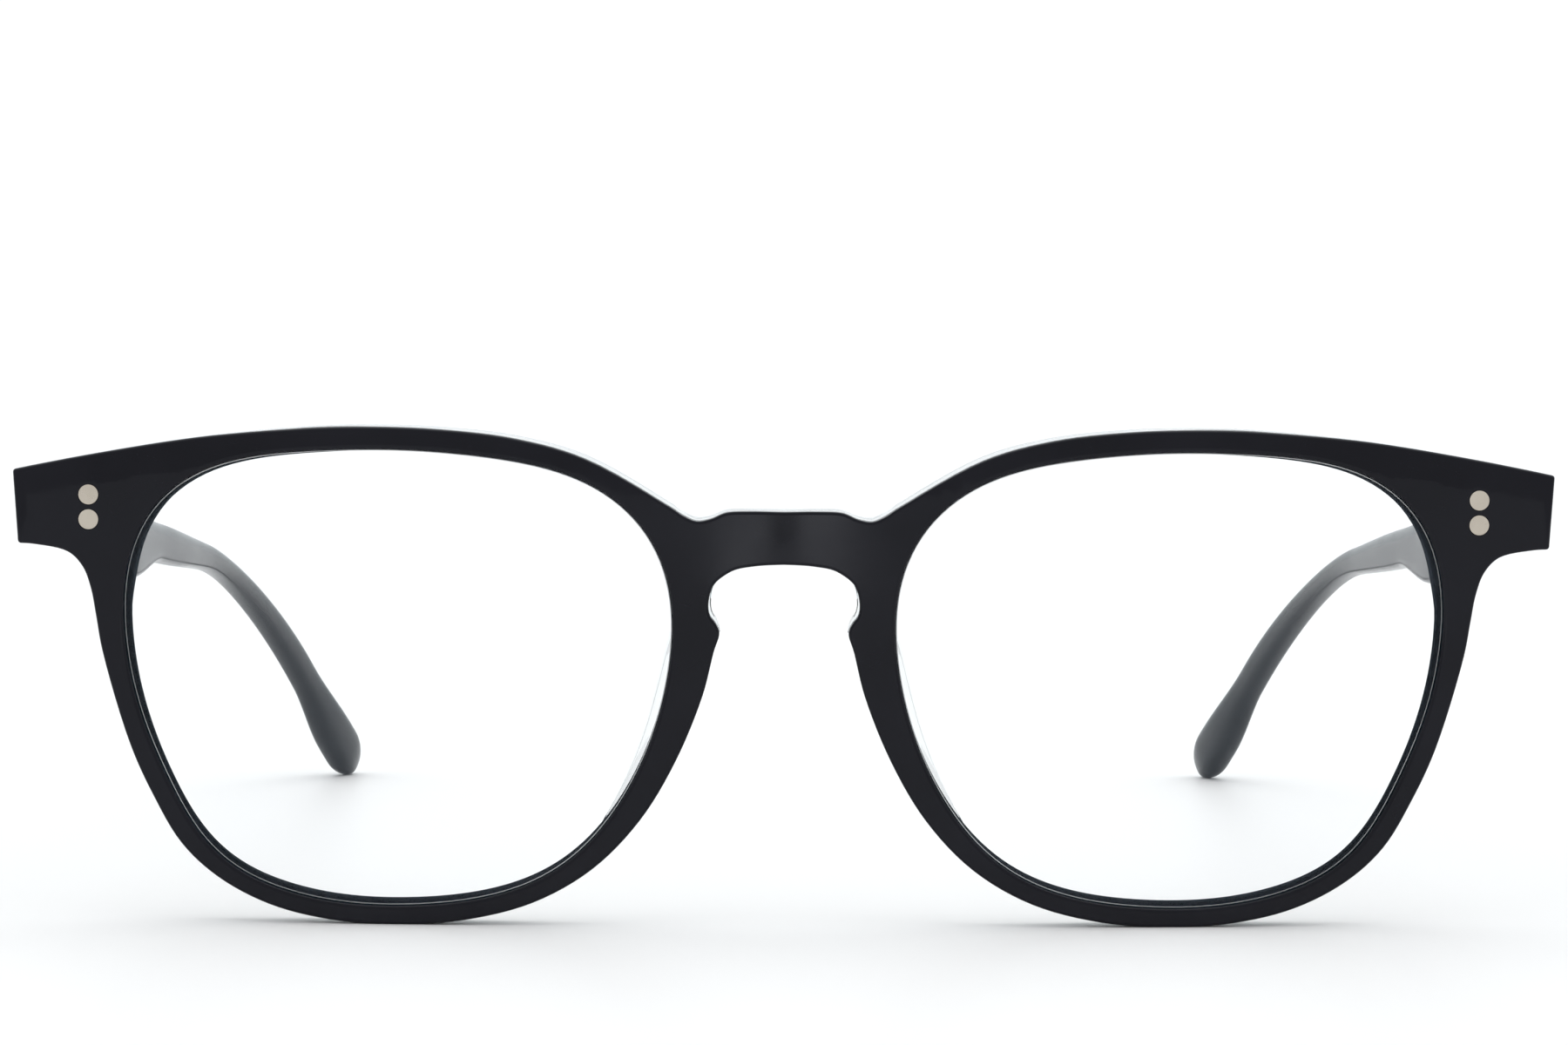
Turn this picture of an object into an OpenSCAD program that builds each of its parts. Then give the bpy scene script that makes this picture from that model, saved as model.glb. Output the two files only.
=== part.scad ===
// Eyeglasses with soft rectangular lenses. The front is black acetate laminated on crystal,
// the hinges are riveted and have five barrels, and the temples drop behind the ears.
// Right and left are the wearer's: the right side lies at -X. The front faces -Y.
// The glasses stand open at z = 0, on the two rims and the two temple tips.

/* [Front] */
// Radius to which the front is bent around a vertical axis
bend_r = 600; // [400:10:1000]
// Thickness of the black face layer
face_t = 1.6; // [1.3:0.1:2.2]
// Thickness of the crystal layer behind it, at the rims
back_t = 2.2; // [1.8:0.1:2.8]
// Crystal left standing behind the bridge
bridge_extra = 1.5; // [0.5:0.1:2.5]
// Crystal left standing behind the end pieces, as a seat for the hinges
end_extra = 1.8; // [1.2:0.1:2.6]

/* [Lens apertures] */
// Width of each aperture
lens_w = 49.7; // [47:0.1:52]
// Height of each aperture
lens_h = 41.2; // [38:0.1:44]
// Least distance between the apertures
between_lenses = 20.1; // [18:0.1:22]
// Depth of the groove that holds the lens
groove_d = 0.6; // [0.4:0.05:0.8]
// Width of that groove
groove_w = 1.1; // [0.8:0.05:1.3]
// Depth of the groove's middle behind the front surface
groove_at = 1.6; // [1.2:0.05:1.9]

/* [Rims] */
// Width of the rim along the brow
rim_brow = 2.1; // [1.7:0.05:2.8]
// Width of the rim at the temple side
rim_side = 2.05; // [1.7:0.05:2.8]
// Width of the rim at the foot
rim_foot = 1.85; // [1.5:0.05:2.6]
// Width of the rim beside the nose
rim_nose = 3.4; // [2.8:0.05:4]

/* [Bridge] */
// Height of the bridge's top edge above the middle of the lenses
bridge_rise = 15.15; // [13.5:0.05:16.5]
// Height of the bridge bar
bridge_h = 4.8; // [3.8:0.1:5.6]
// Dip of the saddles at both ends of the bridge's top edge
saddle_dip = 0.75; // [0.3:0.05:1.2]
// Distance of the saddles from the middle
saddle_x = 7.9; // [7.2:0.1:8.4]
// Widest place of the keyhole under the bridge
keyhole_w = 13.2; // [12:0.1:14]
// Gap between the two points where the keyhole ends
nib_gap = 11.55; // [10:0.05:12]

/* [End pieces] */
// Height of the end piece at its outer edge
end_h = 6.7; // [6.4:0.1:8]
// Height of its top corner above the middle of the lenses
end_rise = 18.5; // [17.5:0.1:19.5]
// How far the bottom corner lies inside the top corner
end_slant = 0.5; // [0:0.1:1.5]
// How far an end piece stands out beyond the rim beside it
end_reach = 8.2; // [7.6:0.1:10]

/* [Lenses] */
// Thickness of a lens
lens_t = 1.6; // [1.2:0.1:2.2]
// Gap between the lens and the aperture's wall
lens_gap = 0.05; // [0.02:0.01:0.15]

/* [Nose pads] */
// How far a pad stands behind the rim at its highest place
pad_h = 4.4; // [2.5:0.1:5.5]
// Width of a pad's base
pad_w = 3.3; // [2.6:0.1:3.8]
// Lean of a pad away from the nose, in degrees
pad_lean = 26; // [15:1:38]

/* [Temples] */
// Length of a temple along its middle line
temple_l = 135; // [128:1:145]
// Length from the hinge end to where the bend begins
bend_at = 80; // [74:1:90]
// Radius of the bend over the ear
ear_r = 60; // [45:1:75]
// Angle of the drop behind the bend
drop = 35; // [28:0.5:40]
// Angle at which the open temple leans in behind its hinge plate, in degrees
open_in = 3.2; // [0:0.2:4]
// Angle that the shaft turns in from there
toe_in = 5.6; // [4:0.2:9]
// Angle that the bend adds to it
ear_in = 14; // [9:0.5:17]
// How much more level than the shaft the temple leaves the hinge, in degrees
level_out = 5; // [3:0.5:6]
// Thickness of a temple at the hinge
temple_t = 4; // [3.6:0.1:4.4]
// Thickness of the shaft
shaft_t = 3; // [2.6:0.1:3.4]
// Thickness in the bend
bend_t = 2.2; // [2:0.1:2.8]
// Thickness at the tip
tip_t = 3.1; // [2.7:0.1:3.6]
// Height at the hinge end
temple_h = 6.7; // [6.4:0.1:7.2]
// Height of the broad part below the middle line, where its lower edge steps up
lobe_h = 4.3; // [3.8:0.1:4.8]
// Height of the shaft behind the step
shaft_h = 4; // [3.6:0.1:4.6]
// Height in the bend, where the temple is most slender
bend_h = 2.4; // [2.2:0.1:3]
// Height of the paddle at the tip
paddle_h = 5; // [4.5:0.1:6.5]
// Length of the paddle
paddle_l = 7; // [6:0.5:10]
// Distance from the hinge end to the widest part of the broad end
step_at = 45; // [41:1:49]
// Length of the step up to the shaft
step_l = 13; // [11:1:17]
// Length of the tip's rounded end
tip_round = 4.2; // [3:0.5:5]
// Gap between the temple's end and the end piece when open
butt_gap = 0.1; // [0.05:0.01:0.2]
// Radius of the wire core
core_r = 0.6; // [0.4:0.05:0.7]

/* [Hinges] */
// Outer radius of the barrels
barrel_r = 1.5; // [1.3:0.05:1.6]
// Height of one barrel
barrel_h = 1.08; // [0.9:0.02:1.14]
// Gap between neighbouring barrels
barrel_gap = 0.05; // [0.03:0.01:0.08]
// Clearance between a barrel and the other half's plate
barrel_clear = 0.2; // [0.15:0.01:0.3]
// Thickness of the hinge plates
plate_t = 0.8; // [0.6:0.05:1]
// Height of the temple's hinge plate
leaf_h = 3.5; // [3.4:0.05:3.6]
// Length of the temple's hinge plate
leaf_l = 11; // [10:0.5:13]
// Radius of the hinge screw
screw_r = 0.7; // [0.5:0.05:0.8]
// Running clearance around the screw
screw_clear = 0.04; // [0.02:0.01:0.08]

/* [Rivets] */
// Radius of the rivets in the front
rivet_r = 0.9; // [0.7:0.05:1]
// Distance between the two rivets in the front
rivet_pitch = 2.25; // [2.1:0.05:2.6]
// Distance of the front's rivets from the end piece's outer corner
rivet_inset = 7; // [6.6:0.1:7.4]
// Radius of the rivets in the temples
temple_rivet_r = 0.75; // [0.6:0.05:0.9]
// Distance between the two rivets in a temple
temple_rivet_pitch = 4.4; // [3.4:0.1:5]
// Gap around pieces that are set into the acetate
set_gap = 0.02; // [0.01:0.01:0.04]

/* [Hidden] */

black = [0.07, 0.07, 0.08];
crystal = [0.85, 0.9, 0.93];
clear = [0.9, 0.95, 1, 0.35];
nickel = [0.78, 0.75, 0.7];
steel = [0.7, 0.71, 0.72];

$fn = 48;
eps = 0.01;
bend_fn = 720;
steps = 5;

// Places in the front, seen from ahead: x across, z up
lens_x = (between_lenses + lens_w) / 2;
lens_z = rim_foot + lens_h / 2;
bridge_top = lens_z + bridge_rise;
bridge_foot = bridge_top - bridge_h;
end_top = lens_z + end_rise;
end_foot = end_top - end_h;
rim_t = face_t + back_t;
side_x = lens_x + lens_w / 2 + rim_side;
front_reach = side_x + end_reach;
rivet_x = front_reach - rivet_inset;

// Places behind the front: depth is measured square to the bent surface
function y_at(x, depth) = bend_r - sqrt(pow(bend_r - depth, 2) - x * x);
seat_y = y_at(rivet_x, rim_t + end_extra);
butt_y = seat_y + butt_gap;
temple_out = front_reach - 0.5;
temple_in = temple_out - temple_t;
pivot_off = barrel_r + barrel_clear;
pivot_x = temple_in - pivot_off;
pivot_y = seat_y + pivot_off;
hinge_z = (end_top + end_foot) / 2;
stack_h = 5 * barrel_h + 4 * barrel_gap;
bore_r = screw_r + screw_clear;

// Curves through chosen points
function mix(a, b, t) = a + (b - a) * t;
function knot(a, b) = sqrt(norm(b - a));
function spline(p0, p1, p2, p3, t) =
    let(
        t1 = knot(p0, p1),
        t2 = t1 + knot(p1, p2),
        t3 = t2 + knot(p2, p3),
        u = mix(t1, t2, t),
        a1 = (p0 * (t1 - u) + p1 * u) / t1,
        a2 = (p1 * (t2 - u) + p2 * (u - t1)) / (t2 - t1),
        a3 = (p2 * (t3 - u) + p3 * (u - t2)) / (t3 - t2),
        b1 = (a1 * (t2 - u) + a2 * u) / t2,
        b2 = (a2 * (t3 - u) + a3 * (u - t1)) / (t3 - t1)
    ) (b1 * (t2 - u) + b2 * (u - t1)) / (t2 - t1);
// A closed curve through every point
function ring_curve(p) =
    let(n = len(p))
    [for (i = [0:n - 1]) for (k = [0:steps - 1])
        spline(p[(i + n - 1) % n], p[i], p[(i + 1) % n], p[(i + 2) % n], k / steps)];
// An open curve from the second point to the last but one; the outer two only guide it
function open_curve(p) = [
    for (i = [1:len(p) - 3]) for (k = [0:steps - 1]) spline(p[i - 1], p[i], p[i + 1], p[i + 2], k / steps),
    p[len(p) - 2]
];
// Outward direction at a point of a curve that runs anticlockwise
function outward(before, after) =
    let(d = after - before) [d[1], -d[0]] / norm(d);
function grown(p, by) =
    let(n = len(p))
    [for (i = [0:n - 1]) p[i] + by * outward(p[(i + n - 1) % n], p[(i + 1) % n])];
function flipped(p) = [for (i = [len(p) - 1:-1:0]) [-p[i][0], p[i][1]]];

// The lens shape, as shares of half its width and half its height, anticlockwise from its
// temple side: a flat brow, a full upper outer corner and a lower edge drawn in to the nose.
lens_shape = [
    [0.972, 0], [1, 0.3], [0.955, 0.612], [0.872, 0.765], [0.753, 0.878], [0.574, 0.953],
    [0.363, 0.986], [0.146, 1], [-0.145, 0.992], [-0.42, 0.953], [-0.655, 0.879],
    [-0.838, 0.735], [-0.962, 0.517], [-1, 0.256], [-0.975, -0.041], [-0.909, -0.315],
    [-0.801, -0.559], [-0.658, -0.767], [-0.469, -0.907], [-0.233, -0.98], [0, -1],
    [0.234, -0.985], [0.441, -0.922], [0.613, -0.822], [0.727, -0.686], [0.818, -0.482],
    [0.905, -0.272]
];
lens_knots = [for (s = lens_shape) [lens_x + s[0] * lens_w / 2, lens_z + s[1] * lens_h / 2]];
aperture = ring_curve(lens_knots);

// A point of the rim's outer edge beside a knot of the lens shape
function rim_point(i, w) =
    let(n = len(lens_knots))
    lens_knots[i] + w * outward(lens_knots[(i + n - 1) % n], lens_knots[(i + 1) % n]);
brow_knots = [for (i = [10:-1:6]) rim_point(i, rim_brow)];
foot_knots = [
    for (i = [26:-1:24]) rim_point(i, rim_side),
    for (i = [23:-1:18]) rim_point(i, rim_foot),
    rim_point(17, mix(rim_foot, rim_nose, 0.13)),
    rim_point(16, mix(rim_foot, rim_nose, 0.37)),
    rim_point(15, mix(rim_foot, rim_nose, 0.6)),
    rim_point(14, rim_nose)
];
nib_z = lens_z + 4.3;
keyhole_z = nib_z + 2.6;

// Top edge from the middle of the bridge to the end piece's top corner
top_edge = open_curve(concat(
    [
        [-3, bridge_top], [0, bridge_top], [3, bridge_top + 0.05],
        [saddle_x * 0.67, bridge_top - 0.06], [saddle_x * 0.85, bridge_top - 0.8 * saddle_dip],
        [saddle_x, bridge_top - saddle_dip], [saddle_x + 1.15, bridge_top - 0.33 * saddle_dip],
        [saddle_x + 2.3, bridge_top + 0.55]
    ],
    brow_knots,
    [
        mix(brow_knots[4], [front_reach, end_top], 0.35) + [0, 0.45],
        mix(brow_knots[4], [front_reach, end_top], 0.7) + [0, 0.35],
        [front_reach, end_top],
        [front_reach + 9, end_top - 2]
    ]
));
// Lower edge from the end piece's bottom corner, round the rim, to the middle of the bridge
end_corner = [front_reach - end_slant, end_foot];
low_edge = open_curve(concat(
    [
        end_corner + [5, 0], end_corner, end_corner + [-1.6, -0.1], [side_x + 3.1, end_foot - 0.75],
        [side_x + 1.75, end_foot - 2.1], [side_x + 1, end_foot - 4.1],
        [side_x + 0.55, end_foot - 6.5], [side_x - 0.05, end_foot - 9.8]
    ],
    foot_knots,
    [
        [nib_gap / 2 + 0.55, nib_z - 1.9], [nib_gap / 2, nib_z], [nib_gap / 2 + 0.25, nib_z + 0.9],
        [keyhole_w / 2 - 0.12, keyhole_z - 0.9], [keyhole_w / 2, keyhole_z],
        [keyhole_w / 2 - 0.35, keyhole_z + 1.6], [keyhole_w / 2 - 1.9, bridge_foot - 0.6],
        [keyhole_w / 2 - 3.9, bridge_foot - 0.16], [0, bridge_foot], [-3, bridge_foot]
    ]
));
half_outline = concat(top_edge, low_edge);
outline = concat(half_outline, [for (p = flipped(half_outline)) if (p[0] < -eps) p]);

// An outline carried straight back through the front. Its points are rounded to 0.01 mm, so
// that no side is almost but not quite upright, which a cut along the bend can't take.
module straight_back(points, depth = 14) {
    rounded = [for (p = points) [round(p[0] * 100) / 100, round(p[1] * 100) / 100]];
    translate([0, depth, 0])
        rotate([90, 0, 0])
            linear_extrude(depth + 2)
                polygon(rounded);
}
// The same for an outline beside the nose, square to the bent front at the middle of its lens
lens_turn = asin(lens_x / bend_r);
module square_back(points) {
    translate([lens_x, y_at(lens_x, 0), 0])
        rotate([0, 0, lens_turn])
            straight_back([for (p = points) [(p[0] - lens_x) / cos(lens_turn), p[1]]]);
}
// All that lies behind a given depth of the bent front
module behind(depth) {
    translate([0, bend_r, -10])
        cylinder(h = end_top + 20, r = bend_r - depth, $fn = bend_fn);
}
// What the outline under it keeps between two depths
module between(from, to) {
    difference() {
        intersection() {
            children();
            behind(from);
        }
        behind(to);
    }
}

// Where the crystal stays thick: behind the bridge, and behind the end pieces
bridge_block_x = keyhole_w / 2 + 4.4;
bridge_block_z = bridge_foot - 3.35;
bridge_ramp = 3;
end_block_x = lens_x + lens_w * 0.4;
end_block_z = end_foot - 7;
end_ramp = 4;
end_climb = 6;
// Crystal that stays thick between two distances from the middle. Its rear side comes up over
// a ramp at either end, and from below over the given rise above the height z0.
module thick_block(x0, x1, ramp0, ramp1, z0, rise, extra) {
    n = 8;
    top = end_top + 5;
    function share(x) = min(1, (x - x0) / ramp0, ramp1 > 0 ? (x1 - x) / ramp1 : 1);
    function rear(x) = y_at(x, rim_t - 0.4 + (extra + 0.4) * share(x));
    xs = concat(
        [for (i = [0:n]) x0 + ramp0 * i / n],
        [for (i = [1:n]) mix(x0 + ramp0, x1 - ramp1, i / n)],
        ramp1 > 0 ? [for (i = [1:n]) x1 - ramp1 + ramp1 * i / n] : []
    );
    deepest = max([for (x = xs) rear(x)]) + 0.1;
    shallowest = min(rear(x0), rear(x1));
    intersection() {
        translate([0, 0, z0])
            linear_extrude(top - z0)
                polygon(concat(
                    [for (x = xs) [x, rear(x)]],
                    [for (i = [len(xs) - 1:-1:0]) [xs[i], y_at(xs[i], face_t + 0.5)]]
                ));
        translate([x0 - 1, 0, 0])
            rotate([90, 0, 90])
                linear_extrude(x1 - x0 + 2)
                    polygon([[0, z0], [shallowest, z0], [deepest, z0 + rise], [deepest, top], [0, top]]);
        straight_back(outline);
    }
}

// Everything is drawn with the front's foremost line at y = 0 and then centred
module placed() {
    translate([0, -overall_depth / 2, 0])
        children();
}
module both_sides() {
    children();
    mirror([1, 0, 0])
        children();
}

module lens_groove() {
    for (side = [0, 1])
        mirror([side, 0, 0])
            between(groove_at - groove_w / 2, groove_at + groove_w / 2)
                square_back(grown(aperture, groove_d));
}
module apertures() {
    for (side = [0, 1])
        mirror([side, 0, 0])
            square_back(aperture);
}

// Two rivets, one above the other, in each end piece
function rivet_z(upper) = hinge_z + (upper ? 0.5 : -0.5) * rivet_pitch;
module along_y(x, z, r, y0, y1) {
    translate([x, y1, z])
        rotate([90, 0, 0])
            cylinder(h = y1 - y0, r = r);
}
module front_rivet_bores() {
    for (side = [-1, 1])
        for (upper = [false, true])
            along_y(side * rivet_x, rivet_z(upper), rivet_r + set_gap, -1, seat_y + 1);
}

module front_face_layer() {
    color(black)
        placed()
            difference() {
                between(0, face_t)
                    straight_back(outline);
                apertures();
                lens_groove();
                front_rivet_bores();
            }
}

// The plate of the front's hinge half, seen from ahead
plate_w = 4.2;
plate_h = stack_h;
plate_x = pivot_x - 0.6;
module plate_shape(w, h) {
    square([w, h - w], center = true);
    for (up = [-1, 1])
        translate([0, up * (h - w) / 2])
            circle(d = w);
}
module front_plate(grow) {
    translate([plate_x, seat_y + grow, hinge_z])
        rotate([90, 0, 0])
            linear_extrude(plate_t + 2 * grow)
                plate_shape(plate_w + 2 * grow, plate_h + 2 * grow);
}

module front_back_layer() {
    color(crystal)
        placed()
            difference() {
                union() {
                    between(face_t, rim_t)
                        straight_back(outline);
                    thick_block(-bridge_block_x, bridge_block_x, bridge_ramp, bridge_ramp,
                        bridge_block_z, bridge_ramp, bridge_extra);
                    both_sides()
                        thick_block(end_block_x, front_reach + 1, end_ramp, 0, end_block_z, end_climb, end_extra);
                }
                apertures();
                lens_groove();
                front_rivet_bores();
                both_sides() {
                    // flat seat that the temple's end meets
                    translate([rivet_x - 6, seat_y, end_foot - 5])
                        cube([20, 10, end_h + 12]);
                    front_plate(set_gap);
                }
            }
}

module lens_solid() {
    front = groove_at - lens_t / 2;
    tongue = groove_w - 2 * lens_gap;
    between(front, front + lens_t)
        square_back(grown(aperture, -lens_gap));
    between(groove_at - tongue / 2, groove_at + tongue / 2)
        square_back(grown(aperture, groove_d - lens_gap));
}
module lens_left() {
    color(clear)
        placed()
            lens_solid();
}
module lens_right() {
    mirror([1, 0, 0])
        lens_left();
}

// A skin over rings of points that lie in planes, closed at both ends
module skin(rings) {
    n = len(rings);
    m = len(rings[0]);
    polyhedron(
        points = [for (r = rings) for (p = r) p],
        faces = concat(
            [for (i = [0:n - 2]) for (k = [0:m - 1]) [i * m + k, i * m + (k + 1) % m, (i + 1) * m + (k + 1) % m]],
            [for (i = [0:n - 2]) for (k = [0:m - 1]) [i * m + k, (i + 1) * m + (k + 1) % m, (i + 1) * m + k]],
            [[for (k = [m - 1:-1:0]) k]],
            [[for (k = [0:m - 1]) (n - 1) * m + k]]
        ),
        convexity = 6
    );
}

// The left pad runs down the back of the rim beside the nose and is highest below its middle
pad_knots = [
    [7.4, lens_z + 9.4], [7.6, lens_z + 7.2], [7.9, lens_z + 5], [8.4, lens_z + 2.2],
    [9.1, lens_z - 1.4], [10.2, lens_z - 5.2], [11.8, lens_z - 8.8], [13.9, lens_z - 12.2],
    [16.1, lens_z - 14.8], [18, lens_z - 16.5]
];
pad_line = open_curve(pad_knots);
function pad_share(t) = pow(sin(180 * pow(t, 0.85)), 0.7);
function pad_ring(c, d, share) =
    let(
        out = [d[1], -d[0]] / norm(d),
        h = 0.5 + (pad_h - 0.5) * share,
        w = pad_w * (0.55 + 0.45 * share),
        slope = tan(pad_lean),
        section = [
            [-w / 2, 0], [-w / 2 + 0.4 * h * slope, 0.45 * h],
            [-w / 2 + 0.95 * h * slope, 0.86 * h], [-w / 2 + 1.1 * h * slope + 0.35 * w, h],
            [-w / 2 + h * slope + 0.6 * w, 0.9 * h], [w / 2 + 0.3 * h * slope, 0.4 * h], [w / 2, 0]
        ]
    )
    [for (q = section)
        let(x = c[0] - q[0] * out[0]) [x, y_at(x, rim_t) + max(eps, q[1]), c[1] - q[0] * out[1]]];
module nose_pad_left() {
    n = len(pad_line);
    color(crystal)
        placed()
            skin([for (i = [0:2:n - 1])
                pad_ring(
                    pad_line[i],
                    pad_line[min(i + 1, n - 1)] - pad_line[max(i - 1, 0)],
                    max(0.02, pad_share(i / (n - 1)))
                )]);
}
module nose_pad_right() {
    mirror([1, 0, 0])
        nose_pad_left();
}

// One barrel of the left hinge, counted from below
module barrel(level) {
    translate([pivot_x, pivot_y, hinge_z - stack_h / 2 + level * (barrel_h + barrel_gap)])
        cylinder(h = barrel_h, r = barrel_r);
}
module barrel_web(level, size, at) {
    translate([at[0], at[1], hinge_z - stack_h / 2 + level * (barrel_h + barrel_gap)])
        cube([size[0], size[1], barrel_h]);
}
module screw_bore() {
    translate([pivot_x, pivot_y, hinge_z - stack_h])
        cylinder(h = 2 * stack_h, r = bore_r);
}
module front_hinge_left() {
    color(nickel)
        placed()
            difference() {
                union() {
                    front_plate(0);
                    for (level = [0, 2, 4]) {
                        barrel(level);
                        barrel_web(level, [2 * barrel_r, pivot_off + eps], [pivot_x - barrel_r, seat_y - eps]);
                    }
                }
                screw_bore();
                for (upper = [false, true])
                    along_y(rivet_x, rivet_z(upper), rivet_r + set_gap, seat_y - 2, seat_y + eps);
            }
}
module front_hinge_right() {
    mirror([1, 0, 0])
        front_hinge_left();
}

// A rivet is filed flush with the bent face and with the hinge plate
module front_rivet(side, upper) {
    color(nickel)
        placed()
            intersection() {
                along_y(side * rivet_x, rivet_z(upper), rivet_r, 0, seat_y);
                translate([0, bend_r, 0])
                    cylinder(h = end_top, r = bend_r, $fn = bend_fn);
            }
}
module front_rivet_upper_right() {
    front_rivet(-1, true);
}
module front_rivet_lower_right() {
    front_rivet(-1, false);
}
module front_rivet_upper_left() {
    front_rivet(1, true);
}
module front_rivet_lower_left() {
    front_rivet(1, false);
}

screw_head_r = 1.3;
screw_head_h = 0.55;
slot_w = 0.35;
slot_d = 0.3;
module hinge_screw_left() {
    top = hinge_z + stack_h / 2;
    color(steel)
        placed()
            translate([pivot_x, pivot_y, 0])
                difference() {
                    union() {
                        translate([0, 0, hinge_z - stack_h / 2])
                            cylinder(h = stack_h, r = screw_r);
                        translate([0, 0, top])
                            cylinder(h = screw_head_h, r = screw_head_r);
                    }
                    translate([-2, -slot_w / 2, top + screw_head_h - slot_d])
                        cube([4, slot_w, 1]);
                }
}
module hinge_screw_right() {
    mirror([1, 0, 0])
        hinge_screw_left();
}

// Middle line of the left temple. It leaves the hinge straight back and rather level, leans
// down by the angle that puts its tip on the ground, bends over the ear and turns in towards
// the head. What it stays above the lean at first, it makes up for before the step.
straight_l = leaf_l + 2;
function ease(t) = t <= 0 ? 0 : t >= 1 ? 1 : t * t * (3 - 2 * t);
bend_l = ear_r * drop * PI / 180;
level_l = 26;
regain_at = 18;
regain_l = 34;
function hump(t) = ease(2 * min(t, 1 - t));
function dip(s, lean) =
    lean + drop * max(0, min(1, (s - bend_at) / bend_l))
    - level_out * (1 - ease(s / level_l)) + level_out * level_l / regain_l * hump((s - regain_at) / regain_l);
function turn(s) =
    open_in * ease((s - straight_l) / 10) + toe_in * max(0, (s - straight_l) / (temple_l - straight_l))
    + ear_in * ease((s - bend_at + 5) / (bend_l + 10));
function heading(s, lean) =
    let(d = dip(s, lean), t = turn(s)) [-sin(t) * cos(d), cos(t) * cos(d), -sin(d)];
fine = 0.5;
function middle_line(lean) =
    let(start = [temple_out - temple_t / 2, butt_y, hinge_z])
    [for (i = 0, p = start; i <= temple_l / fine + 1; p = p + fine * heading((i + 0.5) * fine, lean), i = i + 1) p];
function place_on(line, s) =
    let(i = floor(s / fine)) mix(line[i], line[i + 1], s / fine - i);

// Sizes along the temple. A table gives stations and values, eased from one to the next.
function eased(table, s, i = 0) =
    i >= len(table) - 1 ? table[len(table) - 1][1] :
    s <= table[i + 1][0] ?
        mix(table[i][1], table[i + 1][1], ease((s - table[i][0]) / (table[i + 1][0] - table[i][0]))) :
    eased(table, s, i + 1);
paddle_at = temple_l - paddle_l;
neck_at = paddle_at - 10;
waist_at = bend_at + 10;
thickness = [[0, temple_t / 2], [straight_l, temple_t / 2], [step_at + step_l, shaft_t / 2], [waist_at, bend_t / 2],
    [neck_at, bend_t / 2], [paddle_at, tip_t / 2]];
upper = [[0, temple_h / 2], [straight_l, temple_h / 2], [step_at + step_l, shaft_h * 0.53],
    [waist_at, bend_h / 2], [neck_at, bend_h * 0.66], [paddle_at, paddle_h * 0.44]];
lower = [[0, temple_h / 2], [step_at, lobe_h], [step_at + step_l, shaft_h * 0.47], [waist_at, bend_h / 2],
    [neck_at, bend_h * 0.66], [paddle_at, paddle_h * 0.56]];
section = [
    [1, -0.5], [1, 0.5], [0.92, 0.79], [0.72, 0.94], [0.42, 1], [-0.42, 1], [-0.72, 0.94], [-0.92, 0.79],
    [-1, 0.5], [-1, -0.5], [-0.92, -0.79], [-0.72, -0.94], [-0.42, -1], [0.42, -1], [0.72, -0.94],
    [0.92, -0.79]
];
function tip_share(s) =
    let(over = s - (temple_l - tip_round)) over <= 0 ? 1 : sqrt(max(0, 1 - pow(over / tip_round, 2)));
function temple_ring(line, lean, s) =
    let(
        c = place_on(line, s),
        t = turn(s),
        d = dip(s, lean) * min(1, s / 10),
        out = [cos(t), sin(t), 0],
        up = [-sin(t) * sin(d), cos(t) * sin(d), cos(d)],
        k = tip_share(s)
    )
    [for (q = section)
        c + out * q[0] * eased(thickness, s) * k + up * q[1] * (q[1] > 0 ? eased(upper, s) : eased(lower, s)) * k];
ring_count = 56;
ring_at = concat(
    [for (i = [0:ring_count]) (temple_l - tip_round) * i / ring_count],
    [for (a = [20:15:80]) temple_l - tip_round + tip_round * sin(a)]
);
function temple_rings(lean) =
    let(line = middle_line(lean)) [for (s = ring_at) temple_ring(line, lean, s)];
function lowest(rings) = min([for (r = rings) for (p = r) p[2]]);
// The lean is found by halving the interval until the tip rests at z = 0
function find_lean(low, high, n) =
    let(middle = (low + high) / 2)
    n == 0 ? middle :
    lowest(temple_rings(middle)) > 0 ? find_lean(middle, high, n - 1) : find_lean(low, middle, n - 1);
temple_lean = find_lean(-8, 24, 15);
temple_mesh = temple_rings(temple_lean);
overall_depth = max([for (r = temple_mesh) for (p = r) p[1]]);

// The wire core lies in a channel from behind the hinge to the paddle
core_from = 17;
core_to = temple_l - 12;
core_turns = 26;
function core_rings(r) =
    let(line = middle_line(temple_lean))
    [for (i = [0:core_turns])
        let(
            s = mix(core_from, core_to, i / core_turns),
            t = turn(s),
            d = dip(s, temple_lean),
            out = [cos(t), sin(t), 0],
            up = [-sin(t) * sin(d), cos(t) * sin(d), cos(d)]
        )
        [for (a = [0:45:315]) place_on(line, s) + r * (out * cos(a) + up * sin(a))]];

// The temple's hinge plate, seen from the side
leaf_from = butt_y + 0.4;
rivet_y = pivot_y + 3;
module leaf_shape(grow) {
    r = leaf_h / 2 + grow;
    translate([leaf_from - grow, -r])
        square([leaf_l - leaf_h / 2 + grow, 2 * r]);
    translate([leaf_from + leaf_l - leaf_h / 2, 0])
        circle(r = r);
}
module leaf_plate(grow) {
    translate([temple_in - grow, 0, hinge_z])
        rotate([90, 0, 90])
            linear_extrude(plate_t + 2 * grow)
                leaf_shape(grow);
}
module along_x(y, z, r, x0, x1) {
    translate([x0, y, z])
        rotate([0, 90, 0])
            cylinder(h = x1 - x0, r = r);
}
module temple_rivet_bores() {
    for (i = [0, 1])
        along_x(rivet_y + i * temple_rivet_pitch, hinge_z, temple_rivet_r + set_gap, temple_in - 1, temple_out + 1);
}
module temple_left() {
    color(black)
        placed()
            difference() {
                skin(temple_mesh);
                skin(core_rings(core_r + set_gap));
                leaf_plate(set_gap);
                temple_rivet_bores();
            }
}
module temple_right() {
    mirror([1, 0, 0])
        temple_left();
}
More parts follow.
